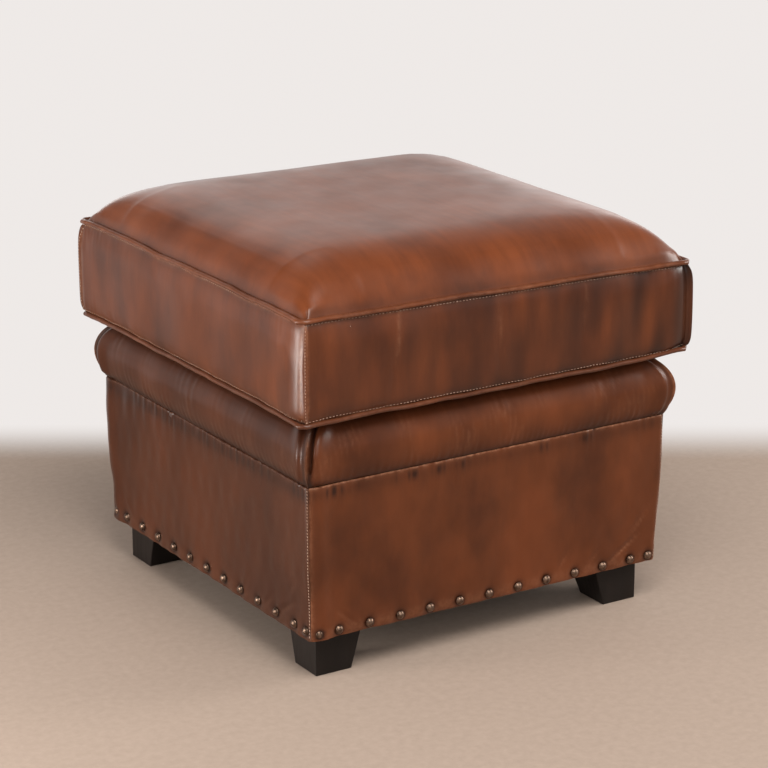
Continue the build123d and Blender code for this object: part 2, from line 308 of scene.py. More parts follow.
leatherLook = {
    "deep": (0.082, 0.0205, 0.0066),
    "body": (0.126, 0.0310, 0.0088),
    "warm": (0.156, 0.0390, 0.0108),
    "worn": (0.420, 0.1900, 0.1050),
    # colour of the painted shade that the dark attribute mixes in
    "dark": (0.026, 0.0080, 0.0040),
    "roughness": (0.31, 0.38),
    "gloss": 1.42,             # index of refraction of the waxed surface
    "grain": 0.06,
    "slope": (0.30, 0.75),     # upward part of the normal where the sides end and the top begins
    "topShare": 0.8,
    "clouds": (10, 4, 0.55),   # scale, detail and roughness of the noise
    "sideStops": (0.35, 0.50, 0.66),
    "topStops": (0.22, 0.50, 0.80),
    "brush": ((27, 4, 0.6), (0.34, 0.78), (0.62, 1.10)),   # noise, darkest and lightest stop
    "hair": ((210, 3, 0.65), (0.32, 0.90), (0.68, 1.07)),
    "strokes": ((95, 4, 0.6), (0.34, 0.84), (0.66, 1.12)),
    "rub": ((170, 4, 0.65), (0.38, 0.25), (0.60, 1.0)),
}


def leatherFinish(name, look, streak):
    finish, tree, shader = newFinish(name)
    plain = objectCoords(tree)
    normal = addNode(tree, "ShaderNodeNewGeometry").outputs["Normal"]
    facing = addNode(tree, "ShaderNodeSeparateXYZ", {0: normal}).outputs["Z"]
    onSide = mapped(tree, facing, look["slope"], (streak, 0.0))
    onTop = mapped(tree, facing, look["slope"], (0.0, look["topShare"]))
    clouds = noise(tree, objectCoords(tree, (1, 1, 0.6)), *look["clouds"])
    shades = (look["deep"], look["body"], look["warm"])
    colour = ramp(tree, clouds, list(zip(look["sideStops"], shades)))
    evener = ramp(tree, clouds, list(zip(look["topStops"], shades)))
    colour = blendColour(tree, "MIX", onTop, colour, evener)
    brush = tones(tree, objectCoords(tree, (1, 1, 0.27)), *look["brush"])
    hair = tones(tree, objectCoords(tree, (1, 1, 0.10)), *look["hair"])
    strokes = tones(tree, objectCoords(tree, (1, 0.12, 0.12), (0, 0, 0.2)), *look["strokes"])
    for share, marks in ((onSide, brush), (onSide, hair), (onTop, strokes)):
        colour = blendColour(tree, "MULTIPLY", share, colour, marks)
    wear = sums(tree, "MULTIPLY", attributeOf(tree, "wear"), tones(tree, plain, *look["rub"]))
    colour = blendColour(tree, "MIX", wear, colour, look["worn"])
    # the dark attribute mixes in painted shade (shadow in creases, under overhangs and round the nail heads, and
    # whole faces darkened for the light), with some darker tone of the leather
    colour = blendColour(tree, "MIX", attributeOf(tree, "dark"), colour, look["dark"])
    tree.links.new(colour, shader.inputs["Base Color"])
    low, high = look["roughness"]
    gloss = tones(tree, plain, (22, 2, 0.5), (0.3, low), (0.7, high))
    tree.links.new(gloss, shader.inputs["Roughness"])
    shader.inputs["IOR"].default_value = look["gloss"]
    bumpOn(tree, shader, noise(tree, plain, 300, 1, 0.4), look["grain"], 0.0004)
    return finish


def woodFinish(name, dark, light, along, roughness, scale=30.0, specular=0.5):
    finish, tree, shader = newFinish(name)
    grainCoords = objectCoords(tree, along)
    grain = noise(tree, grainCoords, scale, 5, 0.6)
    pores = noise(tree, grainCoords, scale * 6, 3, 0.6)
    both = sums(tree, "ADD", sums(tree, "MULTIPLY", grain, 0.7), sums(tree, "MULTIPLY", pores, 0.3))
    tree.links.new(ramp(tree, both, [(0.34, dark), (0.66, light)]), shader.inputs["Base Color"])
    gloss = ramp(tree, pores, [(0.3, grey(roughness - 0.05)), (0.7, grey(roughness + 0.12))])
    tree.links.new(gloss, shader.inputs["Roughness"])
    shader.inputs["Specular IOR Level"].default_value = specular
    bumpOn(tree, shader, both, 0.12, 0.0006)
    return finish


def metalFinish(name, dark, light, roughness, scale):
    finish, tree, shader = newFinish(name)
    plain = objectCoords(tree)
    patina = noise(tree, plain, scale, 4, 0.6)
    tree.links.new(ramp(tree, patina, [(0.36, dark), (0.64, light)]), shader.inputs["Base Color"])
    low, high = roughness
    gloss = tones(tree, plain, (scale * 2, 3, 0.5), (0.3, low), (0.7, high))
    tree.links.new(gloss, shader.inputs["Roughness"])
    shader.inputs["Metallic"].default_value = 1.0
    bumpOn(tree, shader, patina, 0.08, 0.0004)
    return finish


def foamFinish(name, dark, light):
    finish, tree, shader = newFinish(name)
    cells = noise(tree, objectCoords(tree), 240, 4, 0.6)
    tree.links.new(ramp(tree, cells, [(0.3, dark), (0.7, light)]), shader.inputs["Base Color"])
    shader.inputs["Roughness"].default_value = 0.95
    bumpOn(tree, shader, cells, 0.4, 0.0008)
    return finish


def weaveFinish(name, dark, light, threads, roughness, depth, turn=0.0):
    finish, tree, shader = newFinish(name)
    coords = objectCoords(tree, turn=(0, 0, turn))
    bands = []
    for direction in ("X", "Y"):
        sockets = {"Vector": coords, "Scale": threads, "Distortion": 0.6, "Detail": 1.0}
        wave = addNode(tree, "ShaderNodeTexWave", sockets, bands_direction=direction)
        bands.append(wave.outputs["Fac"])
    crossing = sums(tree, "MULTIPLY", bands[0], bands[1])
    slub = noise(tree, objectCoords(tree, (1, 0.2, 1)), 160, 4, 0.6)
    tone = sums(tree, "ADD", sums(tree, "MULTIPLY", crossing, 0.6), sums(tree, "MULTIPLY", slub, 0.5))
    tree.links.new(ramp(tree, tone, [(0.12, dark), (0.75, light)]), shader.inputs["Base Color"])
    shader.inputs["Roughness"].default_value = roughness
    shader.inputs["Sheen Weight"].default_value = 0.15
    bumpOn(tree, shader, sums(tree, "ADD", bands[0], bands[1]), 0.5, depth)
    return finish


cushionLeather = leatherFinish("cushionLeather", leatherLook, streak=0.68)
baseLook = dict(leatherLook, gloss=1.33, deep=(0.076, 0.0205, 0.0072), body=(0.122, 0.0325, 0.0102),
                warm=(0.166, 0.0430, 0.0132))
baseLeather = leatherFinish("baseLeather", baseLook, streak=0.22)
weltLook = dict(leatherLook, body=(0.110, 0.0280, 0.0085), grain=0.15)
weltLeather = leatherFinish("weltLeather", weltLook, streak=0.35)
thread = weaveFinish("seamThread", (0.26, 0.15, 0.10), (0.52, 0.36, 0.27), 900.0, 0.75, 0.0002)
darkWood = woodFinish("darkWood", (0.0045, 0.0030, 0.0026), (0.0125, 0.0080, 0.0062), (1, 1, 0.08), 0.42,
                      specular=0.25)
bronze = metalFinish("antiqueBronze", (0.085, 0.053, 0.038), (0.25, 0.165, 0.120), (0.36, 0.46), 160.0)
plywood = woodFinish("plywood", (0.36, 0.23, 0.12), (0.58, 0.42, 0.25), (0.1, 0.1, 1), 0.62, 60.0)
softwood = woodFinish("softwood", (0.42, 0.27, 0.14), (0.66, 0.48, 0.28), (1, 1, 0.08), 0.60)
zinc = metalFinish("zincSteel", (0.34, 0.34, 0.35), (0.62, 0.62, 0.63), (0.28, 0.46), 120.0)
juteWeave = weaveFinish("juteWebbing", (0.10, 0.065, 0.035), (0.42, 0.30, 0.17), 210.0, 0.9, 0.0008)
hessianWeave = weaveFinish("hessianWeave", (0.16, 0.11, 0.06), (0.50, 0.38, 0.23), 150.0, 0.92, 0.0006)
deckFoam = foamFinish("deckFoam", (0.62, 0.55, 0.36), (0.78, 0.72, 0.52))
deckTwill = weaveFinish("deckTwill", (0.030, 0.018, 0.012), (0.085, 0.052, 0.034), 260.0, 0.88, 0.0005, 0.6)
dustCloth = weaveFinish("dustCloth", (0.010, 0.010, 0.011), (0.035, 0.034, 0.035), 420.0, 0.9, 0.0003)
print("finishes made")


def dress(piece, finish, slot, body, *nodes):
    piece.data.materials.clear()
    piece.data.materials.append(finish)
    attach(piece, body)
    if nodes:
        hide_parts(*nodes)


# cushion: one padded cover between two welts

weltLow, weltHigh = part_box("cushion_welt_top")
footLow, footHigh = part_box("cushion_welt_bottom")
cushion = {
    "parts": ((9, 10), (9, 10), (4, 5)),
    "seamHalf": 0.2835,        # the sewn line, just inside the welts
    "cornerRadius": 0.0040,
    "turnIn": 0.0085,          # at one end each boxing strip rolls in to the corner seam
    "turnReach": 0.031,
    "cornerFlare": 0.016,      # the corners stand out, the sides pull in between them
    "boxingBulge": 0.0064,
    "boxingPower": (12, 7),    # below and above the middle
    "crown": 0.0595,
    "crownEdge": (9.0, 0.72),  # how far the top stays level and how full its edge is
    "crownCorner": (40, 0.50), # how square the crown is in plan, and how pinched its corners
    "lean": -0.016,            # the top rises to the left
    "backDrop": 0.010,         # and its crown is a little lower at the back
    "cloth": {
        "quality": 6, "mass": 0.35, "tension_stiffness": 14, "compression_stiffness": 14, "shear_stiffness": 8,
        "bending_stiffness": 1.5, "use_pressure": True, "uniform_pressure_force": 4.0, "shrink_min": -0.002,
    },
    "clothSteps": 20,
    "mostMove": 0.0010,        # cap on what the cloth simulation moves
    "topWaves": ((0.0008, 0.16), (0.0003, 0.045)),   # height and wavelength
    "footWaves": ((0.0010, 0.15), (0.0004, 0.05)),
    "footGap": 0.0004,
    "cornerCurl": (0.005, 0.05),
    "pucker": (0.00055, (0.0085, 0.0085, 0.16)),
    "slack": (0.0010, (0.11, 0.11, 0.20)),
    "slackSpan": 0.0158,
    "seamPinch": (0.0006, 0.0030),
    "creases": ((-0.160, 0.10, 0.0008, 0.004), (-0.007, -0.05, 0.0006, 0.004), (0.122, 0.06, 0.0005, 0.005)),
    "creaseWear": 320,
    "dents": (0.0001, 0.22),
    # random strength of the painted shade on the cover
    "patches": (0.22, (0.045, 0.045, 0.10)),
}
topSeam = (weltLow.z + weltHigh.z) / 2
footSeam = (footLow.z + footHigh.z) / 2


def flareOf(x, y):  # grows towards the four corners
    far = np.maximum(np.maximum(np.abs(x), np.abs(y)), 1e-9)
    return 1 + cushion["cornerFlare"] * (np.minimum(np.abs(x), np.abs(y)) / far) ** 8


def seamLift(x, y):  # how far the sewn lines wander from level
    place = columns(x, y)
    slow, quick = cushion["topWaves"]
    top = waviness(place, slow, 21) + waviness(place, quick, 22)
    slow, quick = cushion["footWaves"]
    foot = np.abs(waviness(place, slow, 23)) + waviness(place, quick, 24)
    curl, reach = cushion["cornerCurl"]
    foot = foot + curl * bump(np.hypot(x - 0.286, y + 0.286), reach)  # the near right corner curls up
    nearSeam = fade(cushion["seamHalf"] - np.maximum(np.abs(x), np.abs(y)), 0.03)
    return top * nearSeam + cushion["lean"] * x, foot + cushion["footGap"]


def planOf(x, y, half, radius):  # unit square to a square with rounded corners
    far = np.maximum(np.abs(x), np.abs(y))
    h = far * half
    r = np.maximum(radius * far ** 3, 1e-6)
    along = np.minimum(np.abs(x), np.abs(y)) * half
    swing = np.clip((along - (h - r)) / r, 0, 1) * math.pi / 4
    major = np.where(along > h - r, h - r + r * np.cos(swing), h)
    minor = np.where(along > h - r, h - r + r * np.sin(swing), along)
    xIsMajor = np.abs(x) >= np.abs(y)
    px = np.where(xIsMajor, major, minor) * np.sign(x)
    py = np.where(xIsMajor, minor, major) * np.sign(y)
    return px, py


def domeOf(x, y):  # from 0 at the welts to 1 in the middle, with rounded corners
    p, q = cushion["crownEdge"]
    m, pillow = cushion["crownCorner"]
    ax, ay = np.clip(np.abs(x), 0, 1), np.clip(np.abs(y), 0, 1)
    far = np.clip((ax ** m + ay ** m) ** (1 / m), 0, 1)
    return pillow * (1 - far ** p) ** q + (1 - pillow) * ((1 - ax ** p) * (1 - ay ** p)) ** q


def cushionForm(points):
    half = cushion["seamHalf"]
    spread = lambda t: 0.5 * t + 0.5 * np.sin(math.pi * t / 2)
    x, y = spread(points[:, 0] / half), spread(points[:, 1] / half)
    rise = (points[:, 2] - footSeam) / (topSeam - footSeam)
    power = np.where(rise < 0.5, *cushion["boxingPower"])
    belly = cushion["boxingBulge"] * (1 - np.abs(2 * rise - 1) ** power)
    px, py = planOf(x, y, half + belly, cushion["cornerRadius"])
    flare = 1 + (flareOf(x, y) - 1) * np.maximum(np.abs(x), np.abs(y)) ** 6
    px, py = px * flare, py * flare
    onX = np.abs(x) >= np.abs(y)
    lead = np.where(onX, np.sign(x) * py, -np.sign(y) * px)
    inward = np.clip(1 - (half + belly - lead) / cushion["turnReach"], 0, 1.2) ** 2 * cushion["turnIn"]
    inward = inward * np.maximum(np.abs(x), np.abs(y)) ** 8
    px = px - np.where(onX, np.sign(x) * inward, 0)
    py = py - np.where(onX, 0, np.sign(y) * inward)
    dome = domeOf(x, y)
    top, foot = seamLift(px, py)
    level = np.where(rise > 0.999, 1, 1 - ease(dome, 0, 0.6))
    z = footSeam + (topSeam - footSeam) * rise + (top * rise + foot * (1 - rise)) * level
    z = z + np.where(rise > 0.999, (cushion["crown"] - cushion["backDrop"] * py) * dome, 0)
    z = z - np.where(rise < 0.001, (footSeam - footLow.z - 0.0002) * dome, 0)
    return columns(px, py, z), rise, dome


def puffUp(piece, pinned):  # the cover blown up by cloth simulation, then capped
    before = readPoints(piece)
    group = piece.vertex_groups.new(name="sewn")
    group.add([int(i) for i in np.nonzero(pinned)[0]], 1.0, "REPLACE")
    cloth = piece.modifiers.new("puff", "CLOTH")
    for key, value in cushion["cloth"].items():
        setattr(cloth.settings, key, value)
    cloth.settings.effector_weights.gravity = 0
    cloth.settings.vertex_group_mass = group.name
    cloth.point_cache.frame_start, cloth.point_cache.frame_end = 1, cushion["clothSteps"]
    for step in range(1, cushion["clothSteps"] + 1):
        bpy.context.scene.frame_set(step)
    takeUp(piece)
    bpy.ops.object.modifier_apply(modifier=cloth.name)
    bpy.context.scene.frame_set(1)
    piece.vertex_groups.clear()
    moved = readPoints(piece) - before
    length = np.maximum(np.linalg.norm(moved, axis=1), 1e-9)
    limit = cushion["mostMove"]
    moved *= (limit * np.tanh(length / limit) / length)[:, None]
    moved[pinned] = 0
    writePoints(piece, before + moved)


def makeCushion():
    half = cushion["seamHalf"]
    piece = blockOut("cushionCover", (-half, -half, footSeam), (half, half, topSeam), cushion["parts"])
    form, rise, dome = cushionForm(readPoints(piece))
    writePoints(piece, form)
    sewn = (dome < 1e-6) & ((rise > 0.999) | (rise < 0.001))
    below = rise < 0.001
    puffUp(piece, sewn | below)
    subdivideOnce(piece)
    points = readPoints(piece)
    # even out the level part of the crown, then its corners
    aboveSeam = points[:, 2] - topSeam
    inner, outer = np.sort(np.abs(points[:, :2]), axis=1).T
    smoothOver(piece, (aboveSeam > 0.03) & (outer < half - 0.03), 40)
    smoothOver(piece, (aboveSeam > 0.006) & (outer < half - 0.006) & (inner > half - 0.09), 60)
    points = readPoints(piece)
    normals = readVectors(piece.data.vertex_normals, "vector")
    x, y, z = points.T
    far = np.maximum(np.abs(x), np.abs(y))
    along = np.where(np.abs(x) > np.abs(y), y, x)  # place along the side
    toCorner = half - np.abs(along)
    topLift, footLift = seamLift(x, y)
    fromTop, fromFoot = topSeam + topLift - z, z - (footSeam + footLift)
    isTop = (z > topSeam + topLift + 0.0005) & (z > 0.4) | (far < half - 0.006) & (z > 0.4)
    onBoxing = (fromFoot > 0) & (fromTop > 0) & (far > half - 0.004)
    onFront = onBoxing & (y < -half + 0.02)
    nearCorner = fade(toCorner, 0.06)
    move = np.zeros(len(points))
    # puckers drawn in by the welt seams, strongest near the corners
    pull = fade(fromTop, 0.014) * (0.12 + 1.0 * nearCorner) + fade(fromFoot, 0.012) * (0.12 + 0.6 * nearCorner)
    move += np.where(onBoxing, waviness(points, cushion["pucker"], 31) * pull, 0)
    middle = np.clip(4 * fromTop * fromFoot / cushion["slackSpan"], 0, 1)
    move += np.where(onBoxing, waviness(points, cushion["slack"], 32) * middle, 0)
    # pinched corner seam of the boxing
    depth, width = cushion["seamPinch"]
    move -= np.where(onBoxing, depth * bump(toCorner, width), 0)
    # a few upright creases on the near face
    creaseWear = np.zeros(len(points))
    for place, lean, depth, width in cushion["creases"]:
        line = x - place - lean * (z - 0.41)
        within = ease(z, footSeam, footSeam + 0.03) * (1 - ease(z, topSeam - 0.03, topSeam))
        move -= np.where(onFront, depth * bump(line, width) * within, 0)
        rubbed = cushion["creaseWear"] * depth * bump(line - 0.003, 0.0022) * ease(z, 0.395, 0.43)
        creaseWear += np.where(onFront, rubbed, 0)
    # slow dents in the crown
    move += np.where(isTop, waviness(points[:, :2], cushion["dents"], 33) * ease(half - far, 0.0, 0.06), 0)
    writePoints(piece, points + normals * move[:, None])
    seamWear = fade(fromTop - 0.0035, 0.0014) * 0.75 + fade(fromFoot - 0.0035, 0.0012) * 0.65
    wear = np.where(onBoxing, seamWear + 0.32 * bump(toCorner, 0.003) + creaseWear, 0)
    paint(piece, "wear", np.where(isTop, fade(fromTop, 0.004) * 0.10, wear))
    # painted shade on the boxing beside the lower welt and under the top welt
    dark = np.where(onBoxing, 0.35 * fade(fromFoot, 0.008) + 0.15 * fade(fromTop, 0.006), 0)
    # painted shade over whole boxing faces: less on the left face, growing towards its back, more on the other
    # faces
    leftShade = 0.18 + 0.26 * ease(y, -0.25, 0.15)
    otherShade = 0.52 + 0.19 * ease(x, -0.2, 0.05) + 0.09 * ease(x, 0.05, 0.25)
    dark += np.where(onBoxing, np.where(x < -half + 0.003, leftShade, otherShade), 0)
    # painted shade at the right end of the near face, against the light its turned-in end catches
    dark += np.where(onBoxing & (y < -half + 0.003), 0.35 * fade(half - x, 0.014), 0)
    # a painted shadow line on the crown along the welt
    dark += np.where(isTop, 0.45 * bump(half - far - 0.001, 0.0035), 0)
    # patches vary the strength of this painted shade at random
    paint(piece, "dark", dark * (0.75 + waviness(points, cushion["patches"], 35)))
    takeUp(piece)
    bpy.ops.object.shade_smooth()
    nodes = ["cushion_top_panel", "cushion_bottom_panel", "cushion_foam", "cushion_fibre_wrap"]
    nodes += ["cushion_boxing_" + side for side in sides]
    dress(piece, cushionLeather, "leather", "cushion", *nodes)


makeCushion()
print("cushion cover made")


# welts round the cushion

welt = {
    "around": 480,
    "section": 14,
    "ringRadius": 0.2,         # of the ring that is bent to the square
    "height": 0.80,
    "cornerRadius": 0.006,
    "lumps": (0.00018, 0.030), # height and wavelength
    "waver": (0.0003, 0.08),
    "patches": 0.03,
}


def makeWelt(name, level, which, nodes, seed):
    low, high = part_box(nodes[0])
    radius, ring = (high.z - low.z) / 2, welt["ringRadius"]
    clearSelection()
    bpy.ops.mesh.primitive_torus_add(major_segments=welt["around"], minor_segments=welt["section"],
                                     major_radius=ring, minor_radius=radius, location=(0, 0, 0))
    piece = namePiece(name)
    points = readPoints(piece)
    turn = np.arctan2(points[:, 1], points[:, 0]) / (2 * math.pi)
    across = np.hypot(points[:, 0], points[:, 1]) - ring
    x, y, nx, ny = squarePath(turn, high.x - radius, welt["cornerRadius"])
    flare = flareOf(x, y)
    x, y = x * flare, y * flare
    place = columns(x, y)
    lift = seamLift(x, y)[which]
    out = 1 + waviness(place, welt["lumps"], seed) / radius
    reach = across * out + waviness(place, welt["waver"], seed + 1)
    points = columns(x + nx * reach, y + ny * reach, level + lift + points[:, 2] * out * welt["height"])
    writePoints(piece, points)
    patchy = np.abs(ripple(place / welt["patches"], seed + 2))
    paint(piece, "wear", 0.04 + 0.14 * np.clip(across / radius, 0, 1) * patchy)
    # painted shade on the inner side of each welt, against the cover, and over the whole lower welt, on a slightly
    # darker tone
    paint(piece, "dark", 0.15 + 0.28 * which + 0.7 * np.clip(-across / radius - 0.2, 0, 1))
    faceOutward(piece)
    takeUp(piece)
    bpy.ops.object.shade_smooth()
    dress(piece, weltLeather, "welt_leather", "cushion", *nodes)


makeWelt("weltTop", topSeam, 0, ["cushion_welt_top", "welt_cord_top"], 41)
makeWelt("weltFoot", footSeam, 1, ["cushion_welt_bottom", "welt_cord_bottom"], 51)
print("welts made")


# padded roll: four mitred strips

rollLow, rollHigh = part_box("roll_cover_front")
boardOut = -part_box("frame_board_front")[0].y
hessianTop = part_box("hessian")[1].z
roll = {
    "ring": (12, 24, 6, 4, 6, 6, 6),   # points on each run of the section
    "parts": (11, 20),
    "bellyLevel": 0.296,
    "seamReach": 0.2695,
    "topRadius": 0.046,
    "groove": 0.0045,          # the dark folds beside the mitre
    "grooveAt": 0.0065,
    "grooveWidth": 0.0032,
    "puff": 0.0044,
    "fineWaves": (0.00010, (0.014, 0.10)),   # height, and wavelengths along and up
    "slowWaves": (0.0006, (0.10, 0.14)),
    "gather": (0.0009, (0.011, 0.3)),
    "patches": (0.09, 0.12),
    "scuffs": (0.09, (0.006, 0.05)),
    "clearance": 0.0003,
    "mitreGap": 0.00015,
}


def rollOutline():  # section from the seam, over the belly, along the top and back underneath
    belly, level = -rollLow.y, roll["bellyLevel"]
    drop, step = level - rollLow.z, belly - roll["seamReach"]
    lowRadius = (drop ** 2 + step ** 2) / (2 * step)
    start = -math.asin(drop / lowRadius)
    a, b, c, d, e, f, g = roll["ring"]
    path = []
    for k in range(a):
        t = start * (1 - k / a)
        path.append((belly - lowRadius + lowRadius * math.cos(t), level + lowRadius * math.sin(t)))
    for k in range(b):
        t = math.pi / 2 * k / b
        path.append((belly - roll["topRadius"] * (1 - math.cos(t)), level + roll["topRadius"] * math.sin(t)))
    inner, flat = -rollHigh.y, belly - roll["topRadius"]
    under, wall = hessianTop + roll["clearance"], boardOut + roll["clearance"]
    runs = (((flat, rollHigh.z), (inner, rollHigh.z), c), ((inner, rollHigh.z), (inner, under), d),
            ((inner, under), (wall, under), e), ((wall, under), (wall, rollLow.z), f),
            ((wall, rollLow.z), (roll["seamReach"], rollLow.z), g))
    for (n0, z0), (n1, z1), count in runs:
        for k in range(count):
            path.append((n0 + (n1 - n0) * k / count, z0 + (z1 - z0) * k / count))
    return np.array(path), a + b


def makeRoll(side, quarter):
    outline, shownPoints = rollOutline()
    count = len(outline)
    clearSelection()
    bpy.ops.mesh.primitive_cylinder_add(vertices=count, radius=0.05, depth=2, rotation=(0, math.pi / 2, 0))
    piece = namePiece("rollCover_" + side)
    settle(piece)
    for parts in roll["parts"]:
        cutAlong(piece, 0, parts)
    points = readPoints(piece)
    spot = np.rint(np.arctan2(points[:, 2], points[:, 1]) / (2 * math.pi / count)).astype(int) % count
    u = points[:, 0]
    n, z = outline[spot].T
    shown = (spot < shownPoints).astype(float) * np.clip(spot / 4, 0, 1)
    tangent = np.roll(outline, -1, axis=0) - np.roll(outline, 1, axis=0)
    tangent /= np.linalg.norm(tangent, axis=1)[:, None]
    outN, outZ = tangent[spot, 1], -tangent[spot, 0]
    x = u * n
    toEnd = n - np.abs(x)
    climb = np.clip((z - rollLow.z) / (rollHigh.z - rollLow.z), 0, 1)
    seed = 60 + 10 * quarter
    place = columns(x, z)
    patch = np.clip(ripple(place / roll["patches"], seed + 1) + 0.3, 0, 1.5)
    move = waviness(place, roll["fineWaves"], seed + 2) * patch + waviness(place, roll["slowWaves"], seed + 3)
    move += waviness(place, roll["gather"], seed + 4) * fade(z - rollLow.z, 0.010)
    move += roll["puff"] * bump(toEnd - 0.020, 0.010)
    shut = ease(climb, 0.02, 0.45)   # the folds close towards the seam below
    lean = roll["grooveAt"] * (0.25 + 0.75 * shut)
    leftEnd, rightEnd = u < 0, u >= 0
    folds = 0.0008 * np.sin(toEnd / 0.0034 + 2 * climb) * bump(toEnd - 0.010, 0.007) * shut * rightEnd
    cleft = roll["groove"] * bump(toEnd - lean, roll["grooveWidth"]) * (0.15 + 0.85 * shut) * leftEnd
    move += folds - cleft
    move += 0.0012 * bump(toEnd, 0.003) * shut
    move *= shown
    n, z = n + outN * move, z + outZ * move
    x = u * (n - roll["mitreGap"])
    writePoints(piece, turnSide(columns(x, -n, z), quarter))
    faceOutward(piece)
    height, length = roll["scuffs"]
    scuffs = np.clip(ripple(columns(x, z) / np.asarray(length), seed + 5), 0, 1)
    wear = 0.50 * bump(toEnd, 0.0025) + height * scuffs * patch
    # painted shade in the groove beside the mitre and in the folds at the other end
    dark = 0.8 * bump(toEnd - lean, 0.004) * leftEnd + 0.35 * bump(toEnd - 0.006, 0.002) * rightEnd
    # a painted shadow line along the foot of the roll, and painted shade on its top under the cushion
    dark += 0.85 * fade(z - rollLow.z, 0.005) + 0.6 * ease(z, 0.322, 0.340)
    # painted shade over the whole strip, far heavier on the left
    dark += 0.66 if side == "left" else 0.18
    paint(piece, "wear", wear)
    paint(piece, "dark", dark)
    roundOver(piece, 50)
    dress(piece, baseLeather, "leather", "base", "roll_cover_" + side, "roll_foam_" + side)


for quarter, side in enumerate(sides):
    makeRoll(side, quarter)
print("padded roll made")


# side panels with the row of nails

panelLow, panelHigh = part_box("side_panel_front")
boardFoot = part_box("frame_board_front")[0].z
panel = {
    "parts": ((11, 16), (1,), (6, 10)),
    "footReach": 0.2658,
    "topReach": 0.2706,
    "bulge": 0.0018,
    "stripTop": 0.0805,
    "cornerRadius": 0.0060,
    "cornerFullness": 0.0010,
    "leftFullness": 0.0032,    # the left end of each panel swells beside the seam
    "nailSpots": [-0.254] + [-0.225 + 0.045 * k for k in range(11)] + [0.254],
    "nailDimple": 0.0024,
    "slowWaves": (0.0007, (0.13, 0.11)),     # height, and wavelengths along and up
    "quickWaves": (0.0003, (0.035, 0.06)),
    "gather": 0.0011,
    "pulls": (                 # slanting pulls: place, level, slope, length and depth
        (0.213, 0.084, 0.65, 0.052, 0.0012), (0.236, 0.118, 1.2, 0.040, 0.0008),
        (0.160, 0.078, 1.1, 0.030, 0.0006), (-0.215, 0.080, -0.9, 0.030, 0.0006),
        (0.115, 0.085, 1.6, 0.035, 0.0005),
    ),
    "headRadius": 0.0058,
}


def panelReach(z):
    t = np.clip((z - panel["stripTop"]) / (panelHigh.z - panel["stripTop"]), 0, 1)
    low, high = panel["footReach"], panel["topReach"]
    return low + (high - low) * t + panel["bulge"] * np.sin(math.pi * t)


